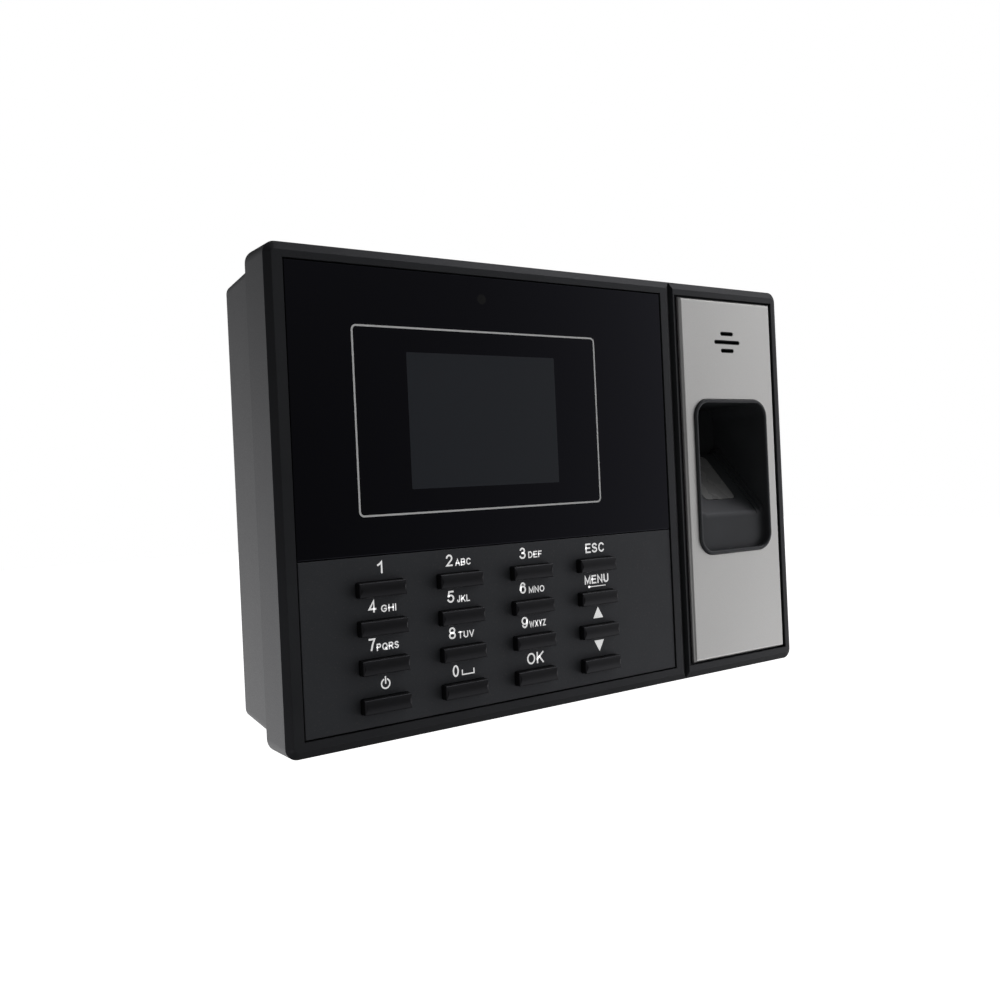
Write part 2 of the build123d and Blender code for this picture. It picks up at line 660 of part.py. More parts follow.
# ---------------------------------------------------------------- wall plate
def wall_plate():
    plate = slab(PLATE, PLATE_FRONT, DEPTH, 4.0)
    for x in HOOK_X:
        x_range = (x - HOOK_WIDTH / 2, x + HOOK_WIDTH / 2)
        strip = block(x_range, (REAR_INNER - 2.2, DEPTH), (HOOK_TOP - PLATE_THICK, HOOK_TOP))
        lip_z = (HOOK_TOP - PLATE_THICK, HOOK_TOP + HOOK_LIP)
        lip = block(x_range, (REAR_INNER - 2.2, REAR_INNER - 1.0), lip_z)
        plate -= block(x_range, (PLATE_FRONT - 1, DEPTH + 1), (HOOK_TOP - 10, HOOK_TOP - PLATE_THICK))
        plate += strip + lip
    half = LOCK_TAB[0] / 2
    x_range = (LOCK_X - half, LOCK_X + half)
    low = LOCK_TAB[1]
    plate += block(x_range, (PLATE_FRONT, DEPTH), (low, PLATE[2] + 1))
    plate += block(x_range, (LOCK_DEPTH - 4, DEPTH), (low, low + PLATE_THICK))
    plate -= upright_rod(LOCK_X, LOCK_DEPTH, 1.3, low - 1, low + 3)
    for side in (-1, 1):
        for level in (-1, 1):
            x = WIDTH / 2 + side * WALL_HOLES[0] / 2
            z = HEIGHT / 2 + level * WALL_HOLES[1] / 2
            plate -= rod(x, z, WALL_HOLE_RADIUS, PLATE_FRONT - 1, DEPTH + 1)
    return plate


# ---------------------------------------------------------------- fasteners
def screw(x, z, seat, tip, radius, head):
    """Pan-head screw along the depth, driven from behind: the head lies behind the seat."""
    shank = rod(x, z, radius - THREAD_CLEARANCE, tip, seat + 0.5)
    top = rod(x, z, head, seat + 0.02, seat + 0.02 + head * 0.7)
    back = seat + 0.02 + head * 0.7
    cross = slab(around((x, z), (head * 1.1, 0.5)), back - 0.6, back + 1)
    cross += slab(around((x, z), (0.5, head * 1.1)), back - 0.6, back + 1)
    return shank + top - cross


def lock_screw():
    seat = LOCK_SCREW_SEAT
    shank = upright_rod(LOCK_X, LOCK_DEPTH, 1.25, seat - 0.5, LOCK_SCREW_TOP)
    head = upright_rod(LOCK_X, LOCK_DEPTH, 2.7, seat - 1.8, seat - 0.02)
    cross = block((LOCK_X - 1.6, LOCK_X + 1.6), (LOCK_DEPTH - 0.3, LOCK_DEPTH + 0.3), (0, seat - 1.1))
    cross += block((LOCK_X - 0.3, LOCK_X + 0.3), (LOCK_DEPTH - 1.6, LOCK_DEPTH + 1.6), (0, seat - 1.1))
    return shank + head - cross


def board_screws():
    """Small screws that hold the keypad board, the display board, the bezel and the strap."""
    sets = [(KEYPAD_SCREWS, KEYPAD_BOARD_FRONT + BOARD, 2.6)]
    sets.append((DISPLAY_SCREWS, DISPLAY_BOARD_FRONT + BOARD, 2.6))
    sets.append((WELL_SCREWS, FLANGE_FRONT + 1.5, 2.6))
    sets.append((STRAP_SCREWS, 10.4, 4.0))
    return [screw(x, z, seat, tip, 0.95, 1.8) for places, seat, tip in sets for x, z in places]


def main_board_screws():
    """Screws that hold the main board, driven from the front."""
    screws = []
    for x, z in MAIN_SCREWS:
        shank = rod(x, z, 1.2, MAIN_FRONT - 0.5, MAIN_FRONT + 9.0)
        head = rod(x, z, 2.7, MAIN_FRONT - 1.9, MAIN_FRONT - 0.02)
        slot = slab(around((x, z), (3.0, 0.6)), MAIN_FRONT - 3, MAIN_FRONT - 1.2)
        screws.append(shank + head - slot)
    return screws


# ---------------------------------------------------------------- everything
def main():
    os.makedirs("parts", exist_ok=True)
    write("front_housing", front_housing())
    write("rear_housing", rear_housing())
    write("display_lens", display_lens())
    write("lens_tape", lens_tape())
    write("display_glass", display_glass())
    write("display_frame", display_frame())
    write("display_board", display_board())
    write("light_pipe", light_pipe())
    write("status_led", status_led())
    write("keypad_panel", keypad_panel())
    for level, names in enumerate(KEY_NAMES):
        for column, name in enumerate(names):
            write(f"key_{name}", key(column, level))
    write("keypad_membrane", keypad_membrane())
    write("keypad_board", keypad_board())
    write("side_panel", side_panel())
    write("side_panel_tape", side_panel_tape())
    write("fingerprint_bezel", fingerprint_bezel())
    write("sensor_window", sensor_window())
    write("sensor_module", sensor_module())
    write("sensor_board", sensor_board())
    write("speaker_gasket", speaker_gasket())
    write("speaker", speaker())
    write("speaker_strap", speaker_strap())
    write("speaker_leads", *speaker_leads())
    write("main_board", main_board())
    write("board_chips", *board_chips())
    write("board_connectors", *board_connectors())
    write("ribbons", *ribbons())
    write("network_socket", network_socket())
    write("power_jack", power_jack())
    write("usb_socket", usb_socket())
    write("cell_holder", cell_holder())
    write("coin_cell", coin_cell())
    write("wall_plate", wall_plate())
    write("lock_screw", lock_screw())
    write("housing_screws", *[screw(x, z, SCREW_SEAT, 8.0, 1.3, 2.8) for x, z in HOUSING_SCREWS])
    write("board_screws", *board_screws())
    write("main_board_screws", *main_board_screws())


main()
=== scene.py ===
"""Wall-mounted fingerprint terminal: finishes, printed legends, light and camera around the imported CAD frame.

Everything is in metres in the row frame: +X right seen from the front, +Y into the wall, +Z up.
Lengths written below in millimetres are multiplied by MM where they are used.
"""
import json
import math

import bpy
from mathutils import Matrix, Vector

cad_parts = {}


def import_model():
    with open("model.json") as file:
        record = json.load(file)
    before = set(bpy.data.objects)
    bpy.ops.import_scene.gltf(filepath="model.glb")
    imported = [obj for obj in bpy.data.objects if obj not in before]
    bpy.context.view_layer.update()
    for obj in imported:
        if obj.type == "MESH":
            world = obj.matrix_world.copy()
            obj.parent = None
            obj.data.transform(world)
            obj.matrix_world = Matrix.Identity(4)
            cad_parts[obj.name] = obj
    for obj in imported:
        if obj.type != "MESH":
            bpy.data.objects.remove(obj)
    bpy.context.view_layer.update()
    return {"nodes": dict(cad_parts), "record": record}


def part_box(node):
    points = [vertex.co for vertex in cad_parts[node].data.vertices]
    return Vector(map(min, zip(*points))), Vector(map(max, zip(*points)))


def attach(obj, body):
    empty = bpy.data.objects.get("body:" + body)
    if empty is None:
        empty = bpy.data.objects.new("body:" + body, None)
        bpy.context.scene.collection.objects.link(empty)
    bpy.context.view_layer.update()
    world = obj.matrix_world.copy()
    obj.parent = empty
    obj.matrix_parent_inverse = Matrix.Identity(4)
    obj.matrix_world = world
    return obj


MM = 0.001
SCENE = bpy.context.scene

# Camera: a viewpoint left of the terminal, level with its middle
CAMERA_PLACE = (-169.8, -266.17, 2.34)
CAMERA_TURN = (89.824, 2.623, -32.733)  # degrees about X, Y, Z
CAMERA_LENS = 33.12
CAMERA_SHIFT = (0.0014, -0.0156)

# Print on the keypad panel: text, left, right and base from the key's centre, and letter height
PRINT_RAISE = 0.012
DIGIT = 3.25
LETTER = 1.9
LEGENDS = {
    "key_1": [("1", -0.8, 0.7, 3.55, DIGIT)],
    "key_2": [("2", -4.1, -2.0, 3.55, DIGIT), ("ABC", -1.2, 3.9, 3.5, LETTER)],
    "key_3": [("3", -3.65, -1.55, 3.55, DIGIT), ("DEF", -0.65, 4.15, 3.6, LETTER)],
    "key_esc": [("ESC", -3.55, 3.8, 3.3, 2.9)],
    "key_4": [("4", -3.85, -1.6, 3.6, DIGIT), ("GHI", -0.25, 4.2, 3.4, LETTER)],
    "key_5": [("5", -4.15, -2.0, 3.6, DIGIT), ("JKL", -1.1, 3.0, 3.45, LETTER)],
    "key_6": [("6", -4.1, -2.0, 3.6, DIGIT), ("MNO", -1.0, 4.55, 3.5, LETTER)],
    "key_menu": [("MENU", -4.4, 4.85, 3.95, 2.6)],
    "key_7": [("7", -4.2, -2.3, 3.7, DIGIT), ("PQRS", -2.0, 4.45, 3.5, LETTER)],
    "key_8": [("8", -4.2, -2.05, 3.65, DIGIT), ("TUV", -1.3, 3.85, 3.55, LETTER)],
    "key_9": [("9", -4.05, -1.85, 3.65, DIGIT), ("WXYZ", -1.35, 4.5, 3.6, LETTER)],
    "key_0": [("0", -3.55, -1.6, 3.2, DIGIT)],
    "key_ok": [("OK", -2.7, 3.15, 3.0, 3.3)],
}
LEGEND_SHIFT = (0.3, 0.35)  # of every legend against its key
LEGEND_GLOW = 0.5  # emission of the legends' ink
THICK_STROKE = 0.47
THIN_STROKE = 0.33
SMALL_PRINT = 2.2  # letters lower than this have thin strokes

# Print on the lens, from its lower left corner
FRAME_LINE = (17.35, 97.95, 10.0, 60.5)
FRAME_LINE_WIDTH = 0.5
FRAME_LINE_RADIUS = 1.5
DISPLAY_VIEW = (33.16, 82.3, 16.74, 53.7)
DISPLAY_VIEW_RADIUS = 0.3
STATUS_PLACE = (57.9, 69.6)
STATUS_RADIUS = 1.4

# Stage
FLOOR_DROP = 400.0
FLOOR_HALF = 6.0  # half the floor's side, in metres
# Soft patches of light in the room: azimuth from the viewer's side towards +X and elevation in degrees,
# angle at which the patch falls to half, and brightness
ROOM_BASE = 0.02
ROOM = [
    (72, 18, 14, 2.0),
    (72, -18, 14, 2.0),
    (50, 0, 20, 0.12),
    (62, 52, 8, 4.5),
    (0, 50, 25, 0.3),
    (208, -24, 26, 1.7),
    (-57, -30, 20, 0.6),
    (40, -42, 16, 0.6),
]


# ---------------------------------------------------------------- shader building
class Shader:
    """A node material under construction. Its patterns are fixed to the object and measured in metres."""

    def __init__(self, name):
        self.material = bpy.data.materials.new(name)
        self.material.use_nodes = True
        self.nodes = self.material.node_tree.nodes
        self.links = self.material.node_tree.links
        self.nodes.clear()
        self.place = self.add("ShaderNodeTexCoord").outputs["Object"]

    def add(self, kind, **inputs):
        """New node; an underscore in an input's name stands for a space."""
        node = self.nodes.new(kind)
        for name, value in inputs.items():
            self.feed(node.inputs[name.replace("_", " ")], value)
        return node

    def feed(self, socket, value):
        if isinstance(value, bpy.types.NodeSocket):
            self.links.new(value, socket)
        else:
            socket.default_value = value

    def noise(self, size, detail=2.0):
        """Random pattern whose spots are about size millimetres wide."""
        scale = 1 / (size * MM)
        return self.add("ShaderNodeTexNoise", Vector=self.place, Scale=scale, Detail=detail).outputs["Fac"]

    def spread(self, pattern, low, high, start=0.3, end=0.7):
        """The pattern's values from start to end, stretched to run from low to high."""
        node = self.add("ShaderNodeMapRange", Value=pattern)
        for name, value in zip(("From Min", "From Max", "To Min", "To Max"), (start, end, low, high)):
            node.inputs[name].default_value = value
        return node.outputs["Result"]

    def mix(self, pattern, dark, light):
        """Colour between dark and light."""
        return self.add("ShaderNodeMixRGB", Fac=pattern, Color1=dark, Color2=light).outputs["Color"]

    def bump(self, pattern, height):
        """Surface relief, height millimetres deep."""
        return self.add("ShaderNodeBump", Height=pattern, Distance=height * MM).outputs["Normal"]

    def finish(self, **inputs):
        surface = self.add("ShaderNodeBsdfPrincipled", **inputs).outputs["BSDF"]
        self.add("ShaderNodeOutputMaterial", Surface=surface)
        return self.material


COOL = (0.97, 0.96, 1.07, 1.0)  # black plastics reflect a little blue
LENS_COAT = (0.97, 0.97, 1.25, 1.0)  # and the lens somewhat more


def grey(value, warmth=0.0):
    return (value * (1 + warmth), value, value * (1 - warmth), 1.0)


def moulded(name, tone, rough, grain, relief, warmth=-0.06, spread=0.15, gloss=0.5):
    """Textured plastic: fine grain in relief, with slow changes of tone and gloss."""
    s = Shader(name)
    slow = s.noise(18.0)
    fine = s.noise(grain, 3.0)
    tones = s.spread(slow, 0.0, 1.0)
    colour = s.mix(tones, grey(tone * (1 - spread), warmth), grey(tone * (1 + spread), warmth))
    return s.finish(
        Base_Color=colour,
        Roughness=s.spread(fine, rough - 0.05, rough + 0.05),
        Specular_IOR_Level=gloss,
        Specular_Tint=COOL,
        Normal=s.bump(fine, relief),
    )


# ---------------------------------------------------------------- finishes
def housing_black():
    return moulded("housing_black", 0.026, 0.44, 0.35, 0.02, gloss=0.4)


def keypad_black():
    """Fine texture with a few lighter specks."""
    s = Shader("keypad_black")
    fine = s.noise(0.3, 3.0)
    specks = s.spread(s.noise(0.45, 1.0), 0.0, 1.0, 0.62, 0.75)
    base = s.mix(s.spread(s.noise(14.0), 0.0, 1.0), grey(0.038, -0.08), grey(0.044, -0.08))
    return s.finish(
        Base_Color=s.mix(specks, base, grey(0.055)),
        Roughness=s.spread(fine, 0.48, 0.58),
        Specular_Tint=COOL,
        Normal=s.bump(fine, 0.006),
    )


def key_black():
    return moulded("key_black", 0.005, 0.4, 0.5, 0.004, gloss=0.42)


def lens_black():
    """Polished clear face over black print: a deep gloss with the faintest wipe marks."""
    s = Shader("lens_black")
    haze = s.noise(30.0, 4.0)
    return s.finish(
        Base_Color=s.mix(haze, grey(0.0012), grey(0.0018)),
        Roughness=s.spread(haze, 0.03, 0.07),
        Specular_Tint=LENS_COAT,
        Normal=s.bump(s.noise(60.0, 1.0), 0.01),
    )


def display_dark():
    """Unlit display behind the lens: a dark blue grey with faint slow changes of tone."""
    s = Shader("display_dark")
    haze = s.noise(30.0, 4.0)
    return s.finish(
        Base_Color=s.mix(haze, (0.033, 0.037, 0.046, 1.0), (0.035, 0.039, 0.048, 1.0)),
        Roughness=0.06,
        Coat_Weight=0.3,
    )


def print_white(name, glow):
    """White ink that also gives off a little light of its own, by glow, or it would be too dark in this room."""
    s = Shader(name)
    tone = s.mix(s.noise(0.25), grey(0.9), grey(0.96))
    return s.finish(
        Base_Color=tone,
        Roughness=0.6,
        Specular_IOR_Level=0.3,
        Emission_Color=tone,
        Emission_Strength=glow,
    )


def panel_silver():
    """Satin anodised sheet."""
    s = Shader("panel_silver")
    fine = s.noise(0.12, 2.0)
    slow = s.noise(25.0)
    return s.finish(
        Base_Color=s.mix(s.spread(fine, 0.0, 1.0), grey(0.8, 0.01), grey(0.88, 0.01)),
        Metallic=0.8,
        Roughness=s.spread(slow, 0.36, 0.42),
        Normal=s.bump(fine, 0.004),
    )


def bezel_black():
    return moulded("bezel_black", 0.054, 0.38, 0.4, 0.006, gloss=0.4)


def sensor_glass():
    """Optical window with a soft grey coating."""
    s = Shader("sensor_glass")
    haze = s.noise(6.0, 3.0)
    return s.finish(
        Base_Color=s.mix(haze, grey(0.24), grey(0.28)),
        Roughness=s.spread(haze, 0.22, 0.32),
        Coat_Weight=0.2,
    )


def sheet_metal(name, tone, rough, warmth=0.0):
    """Plated or brushed metal with a fine grain along X."""
    s = Shader(name)
    stretched = s.add("ShaderNodeMapping", Vector=s.place, Scale=(60.0, 1500.0, 1500.0)).outputs["Vector"]
    lines = s.add("ShaderNodeTexNoise", Vector=stretched, Scale=1.0, Detail=3.0).outputs["Fac"]
    return s.finish(
        Base_Color=s.mix(lines, grey(tone * 0.85, warmth), grey(tone * 1.1, warmth)),
        Metallic=1.0,
        Roughness=s.spread(lines, rough - 0.06, rough + 0.06),
        Normal=s.bump(lines, 0.005),
    )


def circuit_green():
    """Solder mask over copper tracks."""
    s = Shader("circuit_green")
    tracks = s.add("ShaderNodeTexBrick", Vector=s.place, Scale=120.0, Mortar_Size=0.03).outputs["Fac"]
    return s.finish(
        Base_Color=s.mix(tracks, (0.006, 0.075, 0.03, 1.0), (0.012, 0.14, 0.05, 1.0)),
        Roughness=s.spread(s.noise(3.0), 0.25, 0.35),
        Normal=s.bump(tracks, 0.02),
    )


def coloured(name, colour, rough, grain=1.0):
    """Plain moulded or extruded material of the given colour."""
    s = Shader(name)
    pattern = s.noise(grain, 3.0)
    dark = tuple(c * 0.85 for c in colour) + (1.0,)
    return s.finish(
        Base_Color=s.mix(pattern, dark, tuple(colour) + (1.0,)),
        Roughness=s.spread(pattern, rough - 0.05, rough + 0.05),
        Normal=s.bump(pattern, 0.01),
    )


def clear_plastic():
    s = Shader("clear_plastic")
    haze = s.noise(2.0)
    return s.finish(
        Base_Color=s.mix(haze, grey(0.7), grey(0.8)),
        Roughness=s.spread(haze, 0.2, 0.35),
        Transmission_Weight=0.8,
    )


def finishes():
    """One material for each slot named in the record."""
    return {
        "housing_black": housing_black(),
        "keypad_black": keypad_black(),
        "key_black": key_black(),
        "lens_black": lens_black(),
        "panel_silver": panel_silver(),
        "bezel_black": bezel_black(),
        "sensor_glass": sensor_glass(),
        "display_glass": display_dark(),
        "steel": sheet_metal("steel", 0.55, 0.35),
        "plate_steel": sheet_metal("plate_steel", 0.5, 0.42, 0.02),
        "circuit_green": circuit_green(),
        "clear_plastic": clear_plastic(),
        "tape_black": coloured("tape_black", (0.02, 0.02, 0.02), 0.8, 0.3),
        "silicone_grey": coloured("silicone_grey", (0.25, 0.25, 0.26), 0.6),
        "connector_white": coloured("connector_white", (0.7, 0.7, 0.65), 0.45),
        "cable_red": coloured("cable_red", (0.35, 0.02, 0.02), 0.5),
        "ribbon_grey": coloured("ribbon_grey", (0.5, 0.5, 0.5), 0.5),
        "speaker_black": coloured("speaker_black", (0.03, 0.03, 0.03), 0.7, 0.4),
        "chip_black": coloured("chip_black", (0.02, 0.02, 0.02), 0.55, 0.3),
        "socket_black": coloured("socket_black", (0.015, 0.015, 0.015), 0.4, 0.5),
    }


def dress_frame(frame, materials):
    """Give every CAD node its slot's finish."""
    for part in frame["record"]["subparts"]:
        node = frame["nodes"][part["node"]]
        for slot in node.material_slots:
            slot.material = materials[part["material_slot"]]
        if not node.material_slots:
            node.data.materials.append(materials[part["material_slot"]])


# ---------------------------------------------------------------- printed strokes
def arc(x, z, rx, rz, start, end):
    """Points on an ellipse, from one angle to another in degrees."""
    steps = max(2, round(abs(end - start) / 12))
    turns = [math.radians(start + (end - start) * i / steps) for i in range(steps + 1)]
    return [(x + rx * math.cos(t), z + rz * math.sin(t)) for t in turns]


def ring(x, z, rx, rz):
    return arc(x, z, rx, rz, 90, 450)


def half_turn(strokes):
    """The strokes turned upside down."""
    return [[(1 - x, 1 - z) for x, z in stroke] for stroke in strokes]


SIX = [arc(0.5, 0.5, 0.5, 0.5, 38, 180) + [(0.0, 0.33)], ring(0.5, 0.33, 0.5, 0.33)]
P_STROKE = [(0, 0), (0, 1), (0.6, 1)] + arc(0.6, 0.74, 0.4, 0.26, 90, -90) + [(0, 0.48)]

# Each sign: its width against its height, and its centre lines in a unit square
GLYPHS = {
    "0": (0.64, [ring(0.5, 0.5, 0.5, 0.5)]),
    "1": (0.42, [[(0.0, 0.72), (0.6, 0.84), (1.0, 1.0), (1.0, 0.0)]]),
    "2": (0.66, [arc(0.5, 0.71, 0.48, 0.29, 165, -35) + [(0.0, 0.0), (1.0, 0.0)]]),
    "3": (0.66, [arc(0.47, 0.76, 0.43, 0.24, 155, -90), arc(0.47, 0.26, 0.53, 0.26, 90, -160)]),
    "4": (0.7, [[(1.0, 0.24), (0.0, 0.24), (0.74, 1.0), (0.74, 0.0)]]),
    "5": (0.66, [[(0.94, 1.0), (0.2, 1.0), (0.06, 0.5)] + arc(0.47, 0.32, 0.53, 0.32, 140, -155)]),
    "6": (0.66, SIX),
    "7": (0.64, [[(0.0, 1.0), (1.0, 1.0), (0.58, 0.5), (0.34, 0.0)]]),
    "8": (0.66, [ring(0.5, 0.76, 0.44, 0.24), ring(0.5, 0.26, 0.5, 0.26)]),
    "9": (0.66, half_turn(SIX)),
    "A": (0.86, [[(0, 0), (0.5, 1), (1, 0)], [(0.2, 0.34), (0.8, 0.34)]]),
    "B": (0.78, [P_STROKE, [(0.6, 0.5)] + arc(0.6, 0.25, 0.4, 0.25, 90, -90) + [(0, 0)]]),
    "C": (0.88, [arc(0.5, 0.5, 0.5, 0.5, 42, 318)]),
    "D": (0.82, [[(0, 0), (0, 1), (0.45, 1)] + arc(0.45, 0.5, 0.55, 0.5, 90, -90) + [(0, 0)]]),
    "E": (0.74, [[(1, 1), (0, 1), (0, 0), (1, 0)], [(0, 0.52), (0.9, 0.52)]]),
    "F": (0.68, [[(1, 1), (0, 1), (0, 0)], [(0, 0.5), (0.85, 0.5)]]),
    "G": (0.92, [arc(0.5, 0.5, 0.5, 0.5, 42, 325) + [(0.95, 0.46), (0.55, 0.46)]]),
    "H": (0.8, [[(0, 0), (0, 1)], [(1, 0), (1, 1)], [(0, 0.52), (1, 0.52)]]),
    "I": (0.2, [[(0.5, 0), (0.5, 1)]]),
    "J": (0.56, [[(1, 1), (1, 0.3)] + arc(0.5, 0.3, 0.5, 0.3, 0, -175)]),
    "K": (0.8, [[(0, 0), (0, 1)], [(1, 1), (0, 0.36)], [(0.36, 0.6), (1, 0)]]),
    "L": (0.66, [[(0, 1), (0, 0), (1, 0)]]),
    "M": (0.94, [[(0, 0), (0, 1), (0.5, 0.1), (1, 1), (1, 0)]]),
    "N": (0.82, [[(0, 0), (0, 1), (1, 0), (1, 1)]]),
    "O": (0.94, [ring(0.5, 0.5, 0.5, 0.5)]),
    "P": (0.76, [P_STROKE]),
    "Q": (0.94, [ring(0.5, 0.5, 0.5, 0.5), [(0.62, 0.28), (0.96, -0.04)]]),
    "R": (0.8, [P_STROKE, [(0.5, 0.48), (1, 0)]]),
    "S": (0.76, [arc(0.5, 0.755, 0.45, 0.245, 25, 270) + arc(0.5, 0.255, 0.5, 0.255, 90, -160)]),
    "T": (0.78, [[(0, 1), (1, 1)], [(0.5, 1), (0.5, 0)]]),
    "U": (0.8, [[(0, 1), (0, 0.32)] + arc(0.5, 0.32, 0.5, 0.32, 180, 360) + [(1, 1)]]),
    "V": (0.86, [[(0, 1), (0.5, 0), (1, 1)]]),
    "W": (1.3, [[(0, 1), (0.24, 0), (0.5, 0.9), (0.76, 0), (1, 1)]]),
    "X": (0.84, [[(0, 1), (1, 0)], [(0, 0), (1, 1)]]),
    "Y": (0.84, [[(0, 1), (0.5, 0.46), (1, 1)], [(0.5, 0.46), (0.5, 0)]]),
    "Z": (0.8, [[(0, 1), (1, 1), (0, 0), (1, 0)]]),
}
LETTER_GAP = 0.17


def text_strokes(text, left, right, base, height, stroke):
    """Centre lines of the text, fitted between left and right."""
    gap = LETTER_GAP
    natural = sum(GLYPHS[sign][0] for sign in text) + gap * (len(text) - 1)
    scale = (right - left) / natural
    lines = []
    x = left
    for sign in text:
        share, strokes = GLYPHS[sign]
        width = share * scale
        for line in strokes:
            across = [x + stroke / 2 + px * (width - stroke) for px, _ in line]
            up = [base + stroke / 2 + pz * (height - stroke) for _, pz in line]
            lines.append(list(zip(across, up)))
        x += width + gap * scale
    return lines


def ribbon(line, stroke):
    """Left and right edge of a band along a line, squared off half a stroke beyond its open ends."""
    points = [Vector(p) for p in line]
    closed = (points[0] - points[-1]).length < stroke * 0.05
    if closed:
        points = points[:-1]
    else:
        points[0] += (points[0] - points[1]).normalized() * stroke / 2
        points[-1] += (points[-1] - points[-2]).normalized() * stroke / 2
    edges = []
    count = len(points)
    for i, point in enumerate(points):
        before = point - points[i - 1] if i or closed else points[1] - point
        after = points[(i + 1) % count] - point if i < count - 1 or closed else before
        normal = before.normalized() + after.normalized()
        if normal.length < 0.4:
            normal = before.normalized()
        normal.normalize()
        side = Vector((-normal.y, normal.x))
        reach = stroke / 2 / max(0.45, abs(side.dot(Vector((-before.y, before.x)).normalized())))
        edges.append((point + side * reach, point - side * reach))
    if closed:
        edges.append(edges[0])
    return edges


def print_mesh(name, bands, polygons, y, material, body="terminal"):
    """Flat print at depth y, made of bands (pairs of edge points) and polygons, in metres."""
    vertices, faces = [], []
    for edges in bands:
        start = len(vertices)
        for near, far in edges:
            vertices += [(near[0], y, near[1]), (far[0], y, far[1])]
        for i in range(len(edges) - 1):
            a = start + 2 * i
            faces.append((a, a + 1, a + 3, a + 2))
    for polygon in polygons:
        start = len(vertices)
        vertices += [(x, y, z) for x, z in polygon]
        faces.append(tuple(range(start, start + len(polygon))))
    mesh = bpy.data.meshes.new(name)
    mesh.from_pydata(vertices, [], faces)
    mesh.materials.append(material)
    piece = bpy.data.objects.new(name, mesh)
    SCENE.collection.objects.link(piece)
    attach(piece, body)
    return piece


def moved(points, x, z):
    """Points in millimetres about (x, z), as metres in the row frame."""
    return [(x + px * MM, z + pz * MM) for px, pz in points]


def special_legends():
    """Signs that aren't letters: lines with their stroke, and filled shapes, about the key's centre."""
    bracket = [(-0.5, 4.75), (-0.5, 3.55), (3.25, 3.55), (3.25, 4.75)]
    power = arc(0.1, 4.75, 1.2, 1.25, 60, -240)
    return {
        "key_0": ([(bracket, 0.34)], []),
        "key_power": ([(power, 0.38), ([(0.1, 4.9), (0.1, 6.5)], 0.38)], []),
        "key_menu": ([([(-2.9, 3.1), (3.5, 3.1)], 0.26)], [arc(-2.75, 3.1, 0.4, 0.4, 0, 345)]),
        "key_up": ([], [[(-1.7, 3.45), (2.1, 3.45), (0.2, 6.9)]]),
        "key_down": ([], [[(-1.7, 6.75), (0.15, 3.35), (2.0, 6.75)]]),
    }


def key_legends(material):
    """Every key's legend, printed on the panel above the key."""
    panel_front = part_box("keypad_panel")[0].y - PRINT_RAISE * MM
    special = special_legends()
    for key in sorted(set(LEGENDS) | set(special)):
        low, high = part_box(key)
        x = (low.x + high.x) / 2 + LEGEND_SHIFT[0] * MM
        z = (low.z + high.z) / 2 + LEGEND_SHIFT[1] * MM
        lines = []
        for text, left, right, base, height in LEGENDS.get(key, []):
            stroke = THIN_STROKE if height < SMALL_PRINT else THICK_STROKE
            lines += [(line, stroke) for line in text_strokes(text, left, right, base, height, stroke)]
        extra, shapes = special.get(key, ([], []))
        lines += extra
        bands = []
        for line, stroke in lines:
            edges = ribbon(line, stroke)
            bands.append(list(zip(moved([e[0] for e in edges], x, z), moved([e[1] for e in edges], x, z))))
        polygons = [moved(shape, x, z) for shape in shapes]
        legend = print_mesh(f"legend_{key[4:]}", bands, polygons, panel_front, material)


# ---------------------------------------------------------------- print on the lens
def rounded(outline, radius, inset=0.0):
    """Closed outline of a rectangle with round corners, moved inwards by inset."""
    x0, x1, z0, z1 = outline
    x0, x1, z0, z1 = x0 + inset, x1 - inset, z0 + inset, z1 - inset
    r = max(radius - inset, 0.05)
    points = arc(x1 - r, z1 - r, r, r, 90, 0)
    points += arc(x1 - r, z0 + r, r, r, 0, -90)
    points += arc(x0 + r, z0 + r, r, r, -90, -180)
    points += arc(x0 + r, z1 - r, r, r, 180, 90)
    return points


def lens_print(white, dark, grey_dot):
    """The line round the display, the display's view and the status light's window."""
    low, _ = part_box("display_lens")
    y = low.y - PRINT_RAISE * MM
    outer = moved(rounded(FRAME_LINE, FRAME_LINE_RADIUS), low.x, low.z)
    inner = moved(rounded(FRAME_LINE, FRAME_LINE_RADIUS, FRAME_LINE_WIDTH), low.x, low.z)
    line = print_mesh("display_line", [list(zip(outer, inner)) + [(outer[0], inner[0])]], [], y, white)
    view_line = rounded(DISPLAY_VIEW, DISPLAY_VIEW_RADIUS)
    view = print_mesh("display_view", [], [moved(view_line, low.x, low.z)], y, dark)
    dot_line = arc(*STATUS_PLACE, STATUS_RADIUS, STATUS_RADIUS, 0, 350)
    dot = print_mesh("status_view", [], [moved(dot_line, low.x, low.z)], y, grey_dot)


# ---------------------------------------------------------------- stage, light and camera
def floor():
    """Plain floor well below the terminal, which hangs as it would on a wall. It is white to the camera only."""
    s = Shader("floor_white")
    tone = s.mix(s.noise(300.0), grey(0.9), grey(0.94))
    material = s.finish(Base_Color=tone, Roughness=0.9, Emission_Color=grey(1.0), Emission_Strength=1.0)
    half = FLOOR_HALF
    corners = [(-half, -half, 0), (half, -half, 0), (half, half, 0), (-half, half, 0)]
    mesh = bpy.data.meshes.new("floor")
    mesh.from_pydata(corners, [], [(0, 1, 2, 3)])
    mesh.materials.append(material)
    plane = bpy.data.objects.new("floor", mesh)
    plane.location.z = -FLOOR_DROP * MM
    plane.visible_diffuse = False
    plane.visible_glossy = False
    plane.visible_shadow = False
    SCENE.collection.objects.link(plane)


def calculate(nodes, links, operation, left, right=0.0):
    """Maths node on two values or sockets."""
    node = nodes.new("ShaderNodeMath")
    node.operation = operation
    for socket, value in zip(node.inputs, (left, right)):
        if isinstance(value, bpy.types.NodeSocket):
            links.new(value, socket)
        else:
            socket.default_value = value
    return node.outputs["Value"]


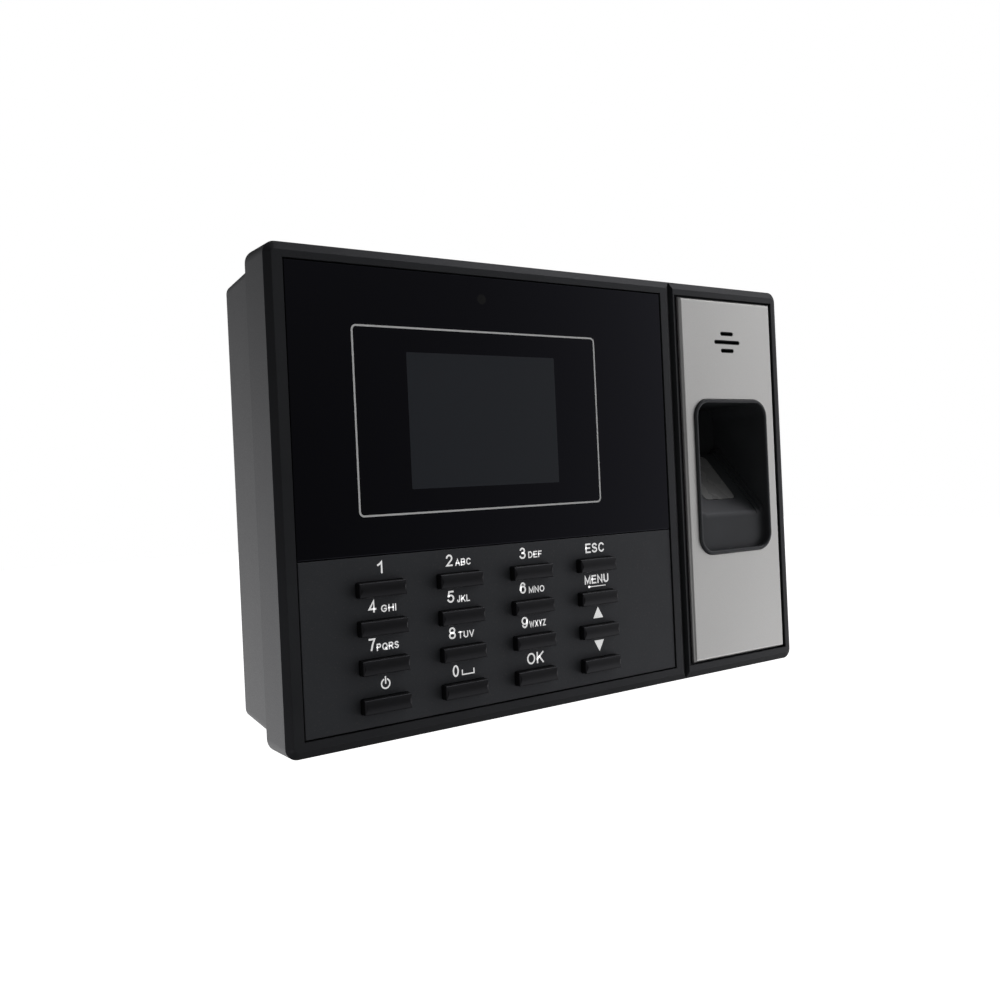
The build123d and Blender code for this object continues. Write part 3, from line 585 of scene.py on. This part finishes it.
def room_light(nodes, links):
    """Brightness of the room in each direction: a sum of round patches with soft edges."""
    direction = nodes.new("ShaderNodeTexCoord").outputs["Generated"]
    total = ROOM_BASE
    for azimuth, elevation, width, brightness in ROOM:
        a, e = math.radians(azimuth), math.radians(elevation)
        nearness = nodes.new("ShaderNodeVectorMath")
        nearness.operation = "DOT_PRODUCT"
        links.new(direction, nearness.inputs[0])
        middle = (math.sin(a) * math.cos(e), -math.cos(a) * math.cos(e), math.sin(e))
        nearness.inputs[1].default_value = middle
        sharpness = math.log(2) / (1 - math.cos(math.radians(width)))
        away = calculate(nodes, links, "SUBTRACT", nearness.outputs["Value"], 1.0)
        fall = calculate(nodes, links, "EXPONENT", calculate(nodes, links, "MULTIPLY", away, sharpness))
        patch = calculate(nodes, links, "MULTIPLY", fall, brightness)
        total = calculate(nodes, links, "ADD", patch, total)
    return total


def studio():
    """Room of soft patches of light round the terminal; the camera sees plain white behind it."""
    world = bpy.data.worlds.new("studio")
    SCENE.world = world
    world.use_nodes = True
    nodes, links = world.node_tree.nodes, world.node_tree.links
    nodes.clear()
    room = nodes.new("ShaderNodeBackground")
    room.inputs["Color"].default_value = grey(1.0)
    links.new(room_light(nodes, links), room.inputs["Strength"])
    plain = nodes.new("ShaderNodeBackground")
    plain.inputs["Color"].default_value = grey(1.0)
    seen = nodes.new("ShaderNodeLightPath").outputs["Is Camera Ray"]
    choice = nodes.new("ShaderNodeMixShader")
    links.new(seen, choice.inputs["Fac"])
    links.new(room.outputs[0], choice.inputs[1])
    links.new(plain.outputs[0], choice.inputs[2])
    output = nodes.new("ShaderNodeOutputWorld")
    links.new(choice.outputs[0], output.inputs["Surface"])


def camera():
    data = bpy.data.cameras.new("camera")
    data.lens = CAMERA_LENS
    data.sensor_width = 36.0
    data.shift_x, data.shift_y = CAMERA_SHIFT
    data.clip_start = 0.01
    eye = bpy.data.objects.new("camera", data)
    eye.location = Vector(CAMERA_PLACE) * MM
    eye.rotation_euler = [math.radians(turn) for turn in CAMERA_TURN]
    SCENE.collection.objects.link(eye)
    SCENE.camera = eye


def main():
    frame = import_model()
    materials = finishes()
    dress_frame(frame, materials)
    key_legends(print_white("legend_white", LEGEND_GLOW))
    line_white = print_white("line_white", 0.0)
    status_dark = coloured("status_dark", (0.012, 0.012, 0.013), 0.2)
    lens_print(line_white, display_dark(), status_dark)
    floor()
    studio()
    camera()
    SCENE.view_settings.view_transform = "Standard"


main()
